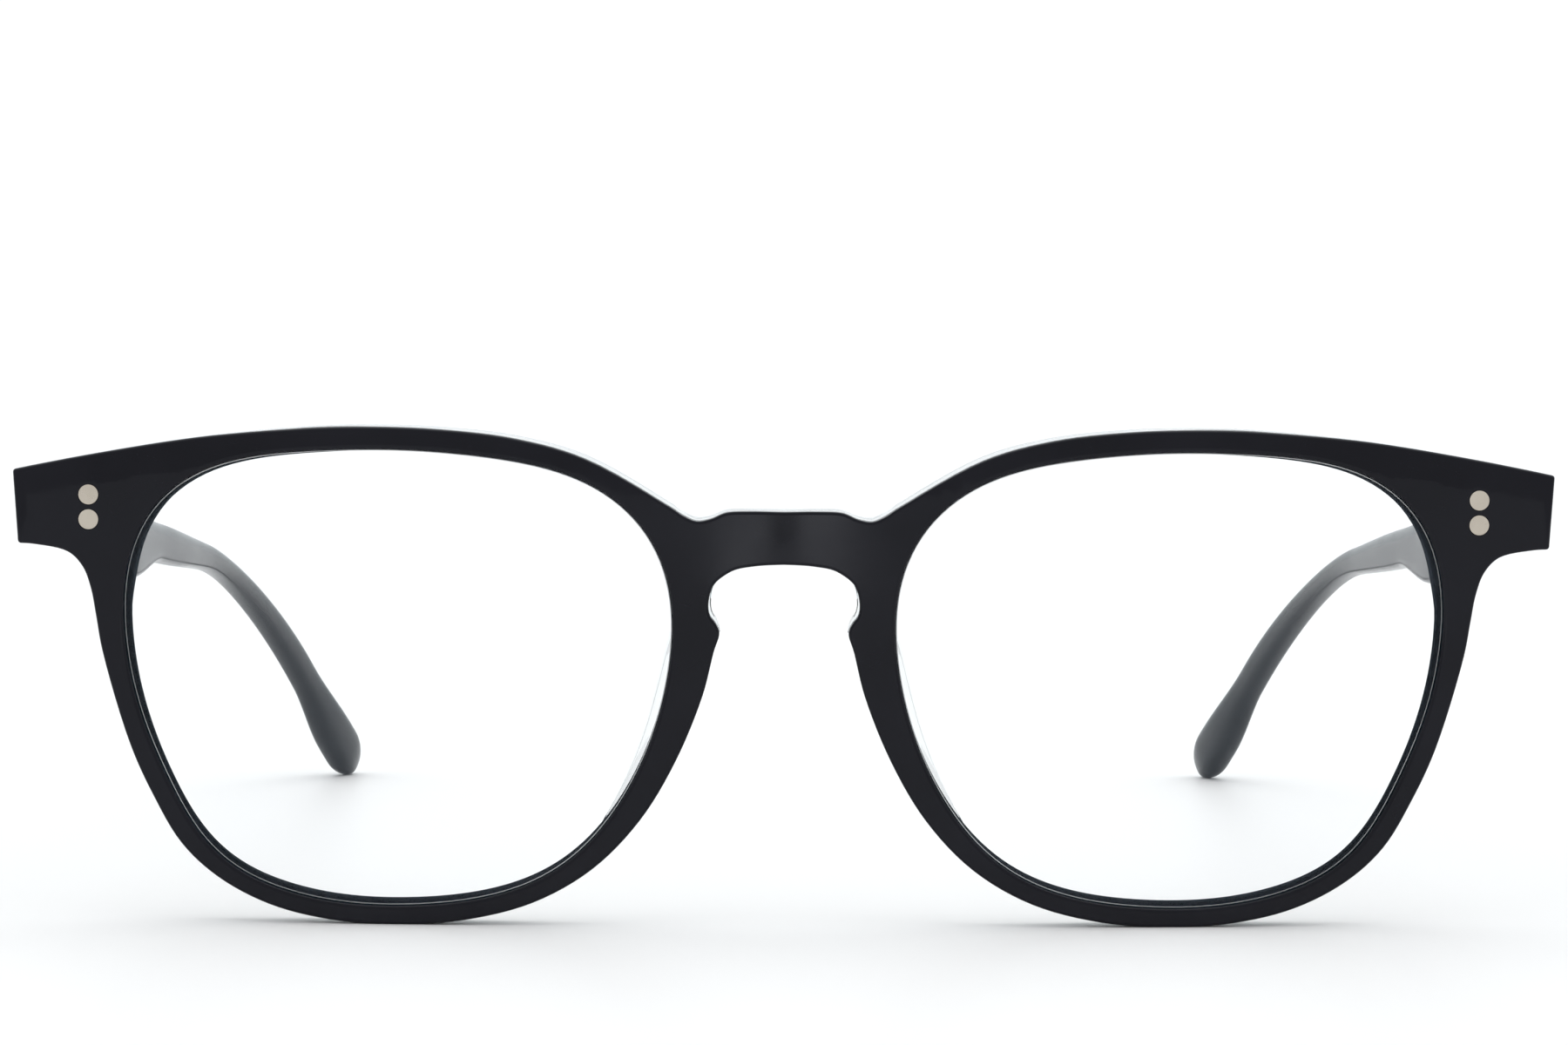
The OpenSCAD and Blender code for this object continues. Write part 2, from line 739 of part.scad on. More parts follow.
module temple_core_left() {
    color(steel)
        placed()
            skin(core_rings(core_r));
}
module temple_core_right() {
    mirror([1, 0, 0])
        temple_core_left();
}
module temple_hinge_left() {
    color(nickel)
        placed()
            difference() {
                union() {
                    leaf_plate(0);
                    for (level = [1, 3]) {
                        barrel(level);
                        barrel_web(level, [pivot_off + eps, 2 * barrel_r], [pivot_x, pivot_y - barrel_r]);
                    }
                }
                screw_bore();
                temple_rivet_bores();
            }
}
module temple_hinge_right() {
    mirror([1, 0, 0])
        temple_hinge_left();
}
module temple_rivet(side, i) {
    color(nickel)
        placed()
            mirror([side, 0, 0])
                along_x(rivet_y + i * temple_rivet_pitch, hinge_z, temple_rivet_r, temple_in, temple_out);
}
module temple_rivet_front_right() {
    temple_rivet(1, 0);
}
module temple_rivet_rear_right() {
    temple_rivet(1, 1);
}
module temple_rivet_front_left() {
    temple_rivet(0, 0);
}
module temple_rivet_rear_left() {
    temple_rivet(0, 1);
}

front_face_layer();
front_back_layer();
lens_right();
lens_left();
nose_pad_right();
nose_pad_left();
front_hinge_right();
front_hinge_left();
front_rivet_upper_right();
front_rivet_lower_right();
front_rivet_upper_left();
front_rivet_lower_left();
hinge_screw_right();
hinge_screw_left();
temple_right();
temple_left();
temple_core_right();
temple_core_left();
temple_hinge_right();
temple_hinge_left();
temple_rivet_front_right();
temple_rivet_rear_right();
temple_rivet_front_left();
temple_rivet_rear_left();
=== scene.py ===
"""Black and crystal acetate eyeglasses, dressed around their CAD frame."""

import math

import bmesh
import bpy
import numpy as np
from mathutils import Matrix, Vector
from mathutils.geometry import delaunay_2d_cdt


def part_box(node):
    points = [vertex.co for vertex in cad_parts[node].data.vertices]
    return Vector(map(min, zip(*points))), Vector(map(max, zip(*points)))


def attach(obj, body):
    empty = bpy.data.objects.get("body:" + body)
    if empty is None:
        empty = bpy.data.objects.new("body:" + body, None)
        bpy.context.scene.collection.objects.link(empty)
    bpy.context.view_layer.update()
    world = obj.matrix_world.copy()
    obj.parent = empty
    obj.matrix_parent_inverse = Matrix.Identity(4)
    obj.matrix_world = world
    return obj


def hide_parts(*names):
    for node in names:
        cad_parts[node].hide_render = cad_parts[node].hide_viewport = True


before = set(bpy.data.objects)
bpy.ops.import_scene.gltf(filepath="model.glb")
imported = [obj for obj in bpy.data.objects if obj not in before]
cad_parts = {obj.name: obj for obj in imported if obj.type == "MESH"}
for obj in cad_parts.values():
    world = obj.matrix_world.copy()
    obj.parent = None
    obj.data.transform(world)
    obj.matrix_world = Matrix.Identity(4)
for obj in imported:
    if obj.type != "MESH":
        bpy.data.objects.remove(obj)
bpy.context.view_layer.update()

# ---------------------------------------------------------------------------------------
# Camera: a long lens almost square to the front, slightly above the glasses, so that the
# temples show through the lenses.
# ---------------------------------------------------------------------------------------
MM = 0.001
# The front's foremost line, from which all depths are counted, in millimetres
front_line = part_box("front_face_layer")[0].y / MM
camera_at = Vector((-2.4, front_line - 450.0, 61.17))
camera_turn, camera_dip, camera_roll = (math.radians(a) for a in (0.3, 3.12, 0.27))
level_ahead = Vector((math.sin(camera_turn), math.cos(camera_turn), 0))
level_right = Vector((math.cos(camera_turn), -math.sin(camera_turn), 0))
straight_up = Vector((0, 0, 1))
ahead = level_ahead * math.cos(camera_dip) - straight_up * math.sin(camera_dip)
level_top = straight_up * math.cos(camera_dip) + level_ahead * math.sin(camera_dip)
right = level_right * math.cos(camera_roll) + level_top * math.sin(camera_roll)
upward = level_top * math.cos(camera_roll) - level_right * math.sin(camera_roll)
camera_data = bpy.data.cameras.new("portrait_camera")
camera_data.sensor_width = 36.0
camera_data.lens = 115.08
camera_data.clip_start = 0.01
camera_data.clip_end = 20.0
camera = bpy.data.objects.new("portrait_camera", camera_data)
camera_axes = Matrix((right, upward, -ahead)).transposed().to_4x4()
camera.matrix_world = Matrix.Translation(camera_at * MM) @ camera_axes
bpy.context.scene.collection.objects.link(camera)
bpy.context.scene.camera = camera

# ---------------------------------------------------------------------------------------
# Studio: a white table under a big soft light, a bright surround behind the glasses and a
# dimmer room on the camera's side, which is what the black face mirrors.
# ---------------------------------------------------------------------------------------
dim_side, bright_side = (0.72, 0.72, 0.74, 1), (1.03, 1.08, 1.10, 1)


def set_inputs(node, values):
    """Sets inputs of a shader node, by name or by place; returns the node."""
    for socket, value in values.items():
        node.inputs[socket].default_value = value
    return node


bpy.context.scene.view_settings.view_transform = "Standard"
room = bpy.data.worlds.new("studio_room")
room.use_nodes = True
bpy.context.scene.world = room
nodes, links = room.node_tree.nodes, room.node_tree.links
direction = nodes.new("ShaderNodeTexCoord")
split = nodes.new("ShaderNodeSeparateXYZ")
links.new(direction.outputs["Generated"], split.inputs["Vector"])
sweep = set_inputs(nodes.new("ShaderNodeMapRange"), {"From Min": -0.75, "From Max": 0.3})
sweep.interpolation_type = "SMOOTHSTEP"
links.new(split.outputs["Y"], sweep.inputs["Value"])
walls = nodes.new("ShaderNodeMix")
walls.data_type = "RGBA"
set_inputs(walls, {"A": dim_side, "B": bright_side})
links.new(sweep.outputs["Result"], walls.inputs["Factor"])
links.new(walls.outputs["Result"], nodes["Background"].inputs["Color"])

sky = bpy.data.lights.new("ceiling_diffuser", "SUN")
sky.energy = 0.82
sky.angle = math.radians(75)
sky_lamp = bpy.data.objects.new("ceiling_diffuser", sky)
sky_lamp.rotation_euler = (math.radians(-18), math.radians(4), 0)
bpy.context.scene.collection.objects.link(sky_lamp)

# Two low light panels beside the camera, which only the bridge mirrors: place and power
panel_w, panel_h, panel_z = 17.0, 20.0, 9.5
for panel_x, panel_power in ((-11.0, 0.0017), (15.5, 0.0019)):
    panel_light = bpy.data.lights.new("low_panel", "AREA")
    panel_light.shape = "RECTANGLE"
    panel_light.size, panel_light.size_y = panel_w * MM, panel_h * MM
    panel_light.energy = panel_power
    panel = bpy.data.objects.new("low_panel", panel_light)
    panel.location = Vector((panel_x, camera_at.y, panel_z)) * MM
    panel.rotation_euler = (math.radians(90), 0, 0)
    panel.visible_camera = False
    bpy.context.scene.collection.objects.link(panel)

table_half, table_back = 2.5, 7.5
table_corners = [
    (-table_half, -table_half, 0), (table_half, -table_half, 0),
    (table_half, table_back, 0), (-table_half, table_back, 0),
]
table_mesh = bpy.data.meshes.new("white_table")
table_mesh.from_pydata(table_corners, [], [(0, 1, 2, 3)])
table = bpy.data.objects.new("white_table", table_mesh)
bpy.context.scene.collection.objects.link(table)
table_paint = bpy.data.materials.new("white_table")
table_paint.use_nodes = True
nodes, links = table_paint.node_tree.nodes, table_paint.node_tree.links
shader = set_inputs(nodes["Principled BSDF"], {"Roughness": 0.45, "Specular IOR Level": 0.25})
mottle = set_inputs(nodes.new("ShaderNodeTexNoise"), {"Scale": 30.0})
tone = set_inputs(nodes.new("ShaderNodeMapRange"), {"To Min": 0.90, "To Max": 0.93})
links.new(mottle.outputs["Fac"], tone.inputs["Value"])
warm = nodes.new("ShaderNodeCombineColor")
for channel, share in (("Red", 1.0), ("Green", 0.985), ("Blue", 0.975)):
    dimmed = set_inputs(nodes.new("ShaderNodeMath"), {1: share})
    dimmed.operation = "MULTIPLY"
    links.new(tone.outputs["Result"], dimmed.inputs[0])
    links.new(dimmed.outputs[0], warm.inputs[channel])
links.new(warm.outputs["Color"], shader.inputs["Base Color"])
table_mesh.materials.append(table_paint)

# ---------------------------------------------------------------------------------------
# Black face layer: the outer 1.6 mm of the laminated front, cut from black acetate sheet
# and tumbled to a high gloss, so that all its edges are softly rounded. The brow is filed
# to a broad slope from the saddles out to the end pieces.
# ---------------------------------------------------------------------------------------
bend_radius = 600.0
face_t, back_t = 1.6, 2.2
rim_t = face_t + back_t
lens_w, lens_h, between_lenses = 49.7, 41.2, 20.1
rim_brow, rim_side, rim_foot, rim_nose = 2.1, 2.05, 1.85, 3.4
bridge_rise, bridge_h, saddle_dip, saddle_x = 15.15, 4.8, 0.75, 7.9
keyhole_half, nib_half = 6.6, 5.775
front_reach, end_h, end_rise, end_slant, end_round = 70.0, 6.7, 18.5, 0.5, 0.3
lens_x = (between_lenses + lens_w) / 2
lens_z = rim_foot + lens_h / 2
bridge_top, end_top = lens_z + bridge_rise, lens_z + end_rise
bridge_foot, end_foot = bridge_top - bridge_h, end_top - end_h
side_x = lens_x + lens_w / 2 + rim_side
nib_z = lens_z + 4.3
keyhole_z = nib_z + 2.6


def bent(x, depth):
    """How far behind the front's foremost line a depth under the bent face lies."""
    return bend_radius - np.sqrt((bend_radius - depth) ** 2 - np.asarray(x, float) ** 2)


def at_depth(depth):
    """A surface that follows the bent face at a depth under it."""
    return lambda plane: bent(plane[:, 0], depth)


def curve_through(points, closed, steps=6):
    """A centripetal spline; an open one runs from the second point to the last but one."""
    p = np.array(points, float)
    n = len(p)
    out = []
    for i in range(n) if closed else range(1, n - 2):
        a, b, c, d = (p[(i + k) % n] for k in (-1, 0, 1, 2))
        t1 = np.linalg.norm(b - a) ** 0.5
        t2 = t1 + np.linalg.norm(c - b) ** 0.5
        t3 = t2 + np.linalg.norm(d - c) ** 0.5
        for k in range(steps):
            u = t1 + (t2 - t1) * k / steps
            a1 = (a * (t1 - u) + b * u) / t1
            a2 = (b * (t2 - u) + c * (u - t1)) / (t2 - t1)
            a3 = (c * (t3 - u) + d * (u - t2)) / (t3 - t2)
            b1 = (a1 * (t2 - u) + a2 * u) / t2
            b2 = (a2 * (t3 - u) + a3 * (u - t1)) / (t3 - t1)
            out.append((b1 * (t2 - u) + b2 * (u - t1)) / (t2 - t1))
    if not closed:
        out.append(p[-2])
    return np.array(out)


def outward(loop):
    """Unit normals of a closed loop that runs anticlockwise, pointing out of it."""
    d = np.roll(loop, -1, 0) - np.roll(loop, 1, 0)
    return np.stack([d[:, 1], -d[:, 0]], 1) / np.linalg.norm(d, axis=1)[:, None]


# Knots round the left lens, anticlockwise from its temple side, in half widths and heights
lens_shape = [
    (0.972, 0), (1, 0.3), (0.955, 0.612), (0.872, 0.765), (0.753, 0.878), (0.574, 0.953),
    (0.363, 0.986), (0.146, 1), (-0.145, 0.992), (-0.42, 0.953), (-0.655, 0.879),
    (-0.838, 0.735), (-0.962, 0.517), (-1, 0.256), (-0.975, -0.041), (-0.909, -0.315),
    (-0.801, -0.559), (-0.658, -0.767), (-0.469, -0.907), (-0.233, -0.98), (0, -1),
    (0.234, -0.985), (0.441, -0.922), (0.613, -0.822), (0.727, -0.686), (0.818, -0.482),
    (0.905, -0.272),
]
lens_knots = np.array([(lens_x + u * lens_w / 2, lens_z + v * lens_h / 2) for u, v in lens_shape])
lens_middle = np.array((lens_x, lens_z))
# The hand-filed shape is free of flats: its radius round the middle keeps only slow waves
even_count, slow_waves = 720, 11.0
rough_loop = curve_through(lens_knots, closed=True) - lens_middle
rough_turn, rough_radius = np.arctan2(rough_loop[:, 1], rough_loop[:, 0]), np.hypot(*rough_loop.T)
order = np.argsort(rough_turn)
even_turn = np.arange(even_count) * math.tau / even_count - math.pi
waves = np.fft.rfft(np.interp(even_turn, rough_turn[order], rough_radius[order], period=math.tau))
waves *= np.exp(-((np.arange(len(waves)) / slow_waves) ** 4))
even_radius = np.fft.irfft(waves, even_count)
even_spokes = np.stack([even_radius * np.cos(even_turn), even_radius * np.sin(even_turn)], 1)
even_loop = lens_middle + even_spokes
even_out = outward(even_loop)
knot_turn = np.arctan2(*(lens_knots - lens_middle).T[::-1])


def at_knots(table):
    """An even table round the lens, read at the knots."""
    columns = [np.interp(knot_turn, even_turn, column, period=math.tau) for column in table.T]
    return np.stack(columns, 1)


lens_out, lens_knots = at_knots(even_out), at_knots(even_loop)
# Every fourth point is enough for the meshes
rim_turn, rim_loop, rim_out = even_turn[::4], even_loop[::4], even_out[::4]


def round_lens(values):
    """A table's values round the lens, from the nose over the foot, temple and brow, blended."""
    turns = [-180, -150, -120, -90, -60, -40, -25, -10, 0, 20, 40, 60, 90, 120, 150]
    degrees = np.degrees(rim_turn)
    shifts = np.linspace(-9, 9, 7)
    return np.mean([np.interp(degrees + shift, turns, values, period=360) for shift in shifts], 0)


# The filer opens the aperture a little at the foot and leaves the brow a little fuller, and
# the rear lip stands in behind the lens
opened = round_lens([
    -0.05, 0, 0.08, 0.12, 0.14, 0.14, 0.12, 0.1, 0.05, 0, -0.05, -0.1, -0.08, -0.15, -0.12,
])
lip = round_lens([
    0.05, 0.12, 0.33, 0.4, 0.4, 0.32, 0.2, 0.34, 0.45, 0.5, 0.4, 0.25, 0.06, 0.1, 0.08,
])
aperture_left = rim_loop + rim_out * opened[:, None]
aperture_right = (aperture_left * (-1, 1))[::-1]


def rim_point(i, width):
    """The outline's point beside a lens knot, where the rim has this width."""
    return lens_knots[i] + width * lens_out[i]


brow = [rim_point(i, rim_brow) for i in range(10, 5, -1)]
foot = [rim_point(i, rim_side) for i in (26, 25, 24)]
foot += [rim_point(i, rim_foot) for i in range(23, 17, -1)]
for i, share in ((17, 0.13), (16, 0.37), (15, 0.6), (14, 1)):
    foot.append(rim_point(i, rim_foot + (rim_nose - rim_foot) * share))
end_corner = np.array((front_reach, end_top))
end_low = np.array((front_reach - end_slant, end_foot))
to_corner = end_corner - brow[4]
top_edge = curve_through([
    (-3, bridge_top), (0, bridge_top), (3, bridge_top + 0.05),
    (saddle_x * 0.67, bridge_top - 0.06), (saddle_x * 0.85, bridge_top - 0.8 * saddle_dip),
    (saddle_x, bridge_top - saddle_dip), (saddle_x + 1.15, bridge_top - 0.33 * saddle_dip),
    (saddle_x + 2.3, bridge_top + 0.55), *brow,
    brow[4] + to_corner * 0.35 + (0, 0.45), brow[4] + to_corner * 0.7 + (0, 0.35),
    end_corner, end_corner + (9, -2),
], closed=False)
low_edge = curve_through([
    end_low + (5, 0), end_low, end_low + (-1.6, -0.1), (side_x + 3.1, end_foot - 0.75),
    (side_x + 1.75, end_foot - 2.1), (side_x + 1, end_foot - 4.1),
    (side_x + 0.55, end_foot - 6.5), (side_x - 0.05, end_foot - 9.8), *foot,
    (nib_half + 0.55, nib_z - 1.9), (nib_half, nib_z), (nib_half + 0.25, nib_z + 0.9),
    (keyhole_half - 0.12, keyhole_z - 0.9), (keyhole_half, keyhole_z),
    (keyhole_half - 0.35, keyhole_z + 1.6), (keyhole_half - 1.9, bridge_foot - 0.6),
    (keyhole_half - 3.9, bridge_foot - 0.16), (0, bridge_foot), (-3, bridge_foot),
], closed=False)


def corner_rounded(before, corner, after, radius, count=5):
    """Points of a small arc in place of an outline's corner."""
    a, b = np.array(before) - corner, np.array(after) - corner
    a, b = a / np.linalg.norm(a), b / np.linalg.norm(b)
    half = math.acos(a @ b) / 2
    centre = corner + (a + b) / np.linalg.norm(a + b) * radius / math.sin(half)
    first = corner + a * radius / math.tan(half) - centre
    last = corner + b * radius / math.tan(half) - centre
    turn = math.acos(np.clip(first @ last / radius ** 2, -1, 1))
    shares = np.linspace(0, 1, count)
    return [
        centre + (first * math.sin(turn * (1 - t)) + last * math.sin(turn * t)) / math.sin(turn)
        for t in shares
    ]


end_edge = corner_rounded(top_edge[-2], end_corner, end_low, end_round)
end_edge += corner_rounded(end_corner, end_low, low_edge[1], end_round)
half_outline = np.array([*top_edge[:-1], *end_edge, *low_edge[1:]])
# Anticlockwise, seen from ahead with x to the right: along the foot first, back over the brow
outline = np.array([*half_outline[::-1][:-1], *[(-x, z) for x, z in half_outline[:-1]]])
gaps = np.linalg.norm(np.diff(outline, axis=0), axis=1)
outline = outline[np.r_[True, gaps > 1e-4]]

rivet_r, rivet_pitch, rivet_x, bore_gap = 0.9, 2.25, 63.0, 0.02
hinge_z = (end_top + end_foot) / 2
rivet_places = [
    (side * rivet_x, hinge_z + up * rivet_pitch / 2) for side in (-1, 1) for up in (-1, 1)
]


def circle(x, z, radius, count=32):
    """A closed loop round a bore, anticlockwise."""
    turns = np.arange(count) * 2 * math.pi / count
    return np.stack([x + radius * np.cos(turns), z + radius * np.sin(turns)], 1)


def inside(points, loop):
    """Which points lie within a closed loop."""
    x, z = points[:, 0][:, None], points[:, 1][:, None]
    x1, z1 = loop[:, 0][None], loop[:, 1][None]
    x2, z2 = np.roll(loop, -1, 0)[:, 0][None], np.roll(loop, -1, 0)[:, 1][None]
    crossed = (z1 > z) != (z2 > z)
    with np.errstate(divide="ignore", invalid="ignore"):
        at = x1 + (z - z1) * (x2 - x1) / (z2 - z1)
    return (np.sum(crossed & (x < at), axis=1) % 2) == 1


def distance(points, loop):
    """Distance of points from a closed loop."""
    best = np.full(len(points), 1e9)
    for a, b in zip(loop, np.roll(loop, -1, 0)):
        t = np.clip(((points - a) @ (b - a)) / ((b - a) @ (b - a)), 0, 1)
        best = np.minimum(best, np.linalg.norm(points - a - t[:, None] * (b - a), axis=1))
    return best


def make_piece(name, points, faces, smooth_angle, kinds=None):
    """Makes a piece from points in millimetres, its faces turned outwards and shaded smooth."""
    mesh = bpy.data.meshes.new(name)
    placed = [(x * MM, (y + front_line) * MM, z * MM) for x, y, z in points]
    mesh.from_pydata(placed, [], faces)
    if kinds:
        mesh.polygons.foreach_set("material_index", kinds)
        mesh.validate()
    cleaned = bmesh.new()
    cleaned.from_mesh(mesh)
    bmesh.ops.remove_doubles(cleaned, verts=cleaned.verts, dist=1e-8)
    bmesh.ops.recalc_face_normals(cleaned, faces=cleaned.faces)
    cleaned.to_mesh(mesh)
    cleaned.free()
    mesh.shade_smooth()
    mesh.set_sharp_from_angle(angle=math.radians(smooth_angle))
    piece = bpy.data.objects.new(name, mesh)
    bpy.context.scene.collection.objects.link(piece)
    return piece


class Sheet:
    """A mesh built up from loops in the plane of the front and the surfaces between them."""

    def __init__(self):
        self.points, self.faces, self.kinds = [], [], []

    def add(self, plane, depths):
        """Adds points of the plane at their depths; returns their numbers."""
        first = len(self.points)
        self.points += [(p[0], depth, p[1]) for p, depth in zip(plane, depths)]
        return list(range(first, len(self.points)))

    def wall(self, rings, second=()):
        """Joins rings of (plane points, depths) by bands, some of them in the second
        material; returns the first and the last ring for the caps."""
        rings = [(plane, self.add(plane, depths)) for plane, depths in rings]
        for k, ((_, one), (_, two)) in enumerate(zip(rings, rings[1:])):
            n = len(one)
            turns = [(i, (i + 1) % n) for i in range(n)]
            self.faces += [(one[i], one[j], two[j], two[i]) for i, j in turns]
            self.kinds += [1 if k in second else 0] * n
        return rings[0], rings[-1]

    def cap(self, outer, holes, height, spacing, facing_front):
        """Fills between an outer ring and holes, given as (plane points, their numbers)."""
        plane = np.concatenate([loop for loop, _ in (outer, *holes)])
        index = [number for _, numbers in (outer, *holes) for number in numbers]
        edges = []
        for loop, _ in (outer, *holes):
            start, n = len(edges), len(loop)
            edges += [(start + i, start + (i + 1) % n) for i in range(n)]

        def in_material(points):
            keep = inside(points, outer[0])
            for loop, _ in holes:
                keep &= ~inside(points, loop)
            return keep

        # A grid of triangles, set off every second row and clear of the rings
        low, high = outer[0].min(0), outer[0].max(0)
        grid = []
        for k, z in enumerate(np.arange(low[1], high[1], spacing * 0.87)):
            shift = spacing / 2 if k % 2 else 0
            grid += [(x + shift, z) for x in np.arange(low[0], high[0], spacing)]
        grid = np.array(grid)
        grid = grid[in_material(grid)]
        for loop, _ in (outer, *holes):
            grid = grid[distance(grid, loop) > spacing * 0.45]
        index += self.add(grid, height(grid))
        every = np.concatenate([plane, grid])
        points = [Vector(p) for p in every]
        _, _, triangles, origin, _, _ = delaunay_2d_cdt(points, edges, [], 0, 1e-6)
        triangles = [[origin[i][0] for i in triangle] for triangle in triangles]
        centres = np.array([every[triangle].mean(0) for triangle in triangles])
        for triangle, keep in zip(triangles, in_material(centres)):
            if keep:
                numbers = [index[i] for i in triangle]
                self.faces.append(tuple(numbers if facing_front else numbers[::-1]))
                self.kinds.append(0)

    def build(self, name, smooth_angle=35):
        """Makes the piece."""
        return make_piece(name, self.points, self.faces, smooth_angle, self.kinds)


def along_brow(x, places, values):
    """A table's value at a distance from the middle, with its corners blended."""
    shifts = np.linspace(-5, 5, 11)
    return np.mean([np.interp(np.abs(x + shift), places, values) for shift in shifts], axis=0)


def brow_slope(plane):
    """How deep the filed slope along the brow lies under the bent face."""
    x = np.abs(plane[:, 0])
    below = np.interp(x, top_edge[:, 0], top_edge[:, 1]) - plane[:, 1]
    width = along_brow(x, [0, 10, 14, 25, 50, 62, 70], [0.3, 0.3, 0.7, 1.5, 1.9, 2.0, 1.6])
    drop = along_brow(x, [0, 11, 14, 25, 50, 62, 70], [0, 0, 0.1, 0.36, 0.44, 0.4, 0.28])
    share = np.clip(1 - below / width, 0, 1)
    return np.where(plane[:, 1] > lens_z, drop * share * np.sqrt(share + 0.05), 0)


def face_height(plane):
    """Depth of the finished face."""
    return bent(plane[:, 0], brow_slope(plane))


# Inset and depth of each ring: up the side wall, then over the rounded edge to the face
side_depth = face_t * 0.7
edge_round, edge_turns = 0.25, [math.radians(a) for a in (0, 15, 32, 50, 68, 90)]
wall_rings = [(0, face_t), (0, side_depth)]
edge_rings = [(edge_round * (1 - math.cos(a)), edge_round * (1 - math.sin(a))) for a in edge_turns]
edge_rings += [(edge_round + 0.04, 0)]
lens_edge_rings = [(1.6 * inset, 1.6 * depth) for inset, depth in edge_rings]
bore_rings = [(0, 0.06), (0.02, 0.02), (0.06, 0), (0.09, 0)]


def face_wall(loop, into, rings):
    """Rings along a loop, each moved into the material, from the joint to the face."""
    wall = []
    for inset, depth in wall_rings + rings:
        plane = loop + outward(loop) * into * inset
        on_side = depth >= side_depth
        wall.append((plane, at_depth(depth)(plane) if on_side else face_height(plane) + depth))
    return wall


def filed_back(loop):
    """The black layer is filed back a little at the saddles and in the keyhole's corners,
    where a thread of the crystal layer shows beside it."""
    x, z = np.abs(loop[:, 0]), loop[:, 1]
    brow_at = [0, 5, 8, 11, 18, 30, 46, 52]
    brow_back = np.interp(x, brow_at, [0.03, 0.04, 0.13, 0.22, 0.24, 0.16, 0.08, 0])
    keyhole_at = [nib_z - 0.4, nib_z + 1.4, keyhole_z, keyhole_z + 2.4]
    keyhole_back = np.interp(z, keyhole_at, [0, 0.28, 0.2, 0])
    on_brow, in_keyhole = z > bridge_foot + 1.5, x < 2 * keyhole_half
    filed = np.maximum(brow_back * on_brow, keyhole_back * in_keyhole)
    return loop - outward(loop) * filed[:, None]


face = Sheet()
ends = [face.wall(face_wall(filed_back(outline), -1, edge_rings))]
for aperture in (aperture_left, aperture_right):
    ends.append(face.wall(face_wall(aperture, 1, lens_edge_rings), second=range(4)))
for x, z in rivet_places:
    ends.append(face.wall(face_wall(circle(x, z, rivet_r + bore_gap), 1, bore_rings)))
joints, fronts = zip(*ends)
face.cap(fronts[0], fronts[1:], face_height, spacing=1.1, facing_front=True)
face.cap(joints[0], joints[1:], at_depth(face_t), spacing=1.6, facing_front=False)
black_face = face.build("black_face")
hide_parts("front_face_layer")
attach(black_face, "front")


def polish_marks():
    """Node group: faint tumbling marks, dust and unevenness of hand-polished acetate."""
    group = bpy.data.node_groups.new("polish_marks", "ShaderNodeTree")
    value_socket, vector_socket = "NodeSocketFloat", "NodeSocketVector"
    wanted = (("Scale", 1.0), ("Depth", 1.0), ("Low Roughness", 0.06), ("High Roughness", 0.16))
    for name, value in wanted:
        socket = group.interface.new_socket(name=name, in_out="INPUT", socket_type=value_socket)
        socket.default_value = value
    given = (("Roughness", value_socket), ("Mask", value_socket), ("Normal", vector_socket))
    for name, kind in given:
        group.interface.new_socket(name=name, in_out="OUTPUT", socket_type=kind)
    nodes, links = group.nodes, group.links
    entry, out = nodes.new("NodeGroupInput"), nodes.new("NodeGroupOutput")
    place = nodes.new("ShaderNodeTexCoord")
    # Broad clouds, whose size the Scale sets, and fine grit on them
    wide = set_inputs(nodes.new("ShaderNodeMath"), {1: 90.0})
    wide.operation = "MULTIPLY"
    links.new(entry.outputs["Scale"], wide.inputs[0])
    cloud = set_inputs(nodes.new("ShaderNodeTexNoise"), {"Detail": 4.0})
    links.new(wide.outputs[0], cloud.inputs["Scale"])
    links.new(place.outputs["Object"], cloud.inputs["Vector"])
    grit = set_inputs(nodes.new("ShaderNodeTexNoise"), {"Scale": 1400.0, "Detail": 2.0})
    links.new(place.outputs["Object"], grit.inputs["Vector"])
    rough = set_inputs(nodes.new("ShaderNodeMapRange"), {"From Min": 0.35, "From Max": 0.65})
    links.new(cloud.outputs["Fac"], rough.inputs["Value"])
    links.new(entry.outputs["Low Roughness"], rough.inputs["To Min"])
    links.new(entry.outputs["High Roughness"], rough.inputs["To Max"])
    mixed = set_inputs(nodes.new("ShaderNodeMath"), {1: 0.06})
    mixed.operation = "MULTIPLY_ADD"
    links.new(grit.outputs["Fac"], mixed.inputs[0])
    links.new(cloud.outputs["Fac"], mixed.inputs[2])
    deep = nodes.new("ShaderNodeMath")
    deep.operation = "MULTIPLY"
    links.new(mixed.outputs[0], deep.inputs[0])
    links.new(entry.outputs["Depth"], deep.inputs[1])
    bump = set_inputs(nodes.new("ShaderNodeBump"), {"Strength": 0.12, "Distance": 0.00002})
    links.new(deep.outputs[0], bump.inputs["Height"])
    links.new(rough.outputs["Result"], out.inputs["Roughness"])
    links.new(cloud.outputs["Fac"], out.inputs["Mask"])
    links.new(bump.outputs["Normal"], out.inputs["Normal"])
    return group


polish = polish_marks()


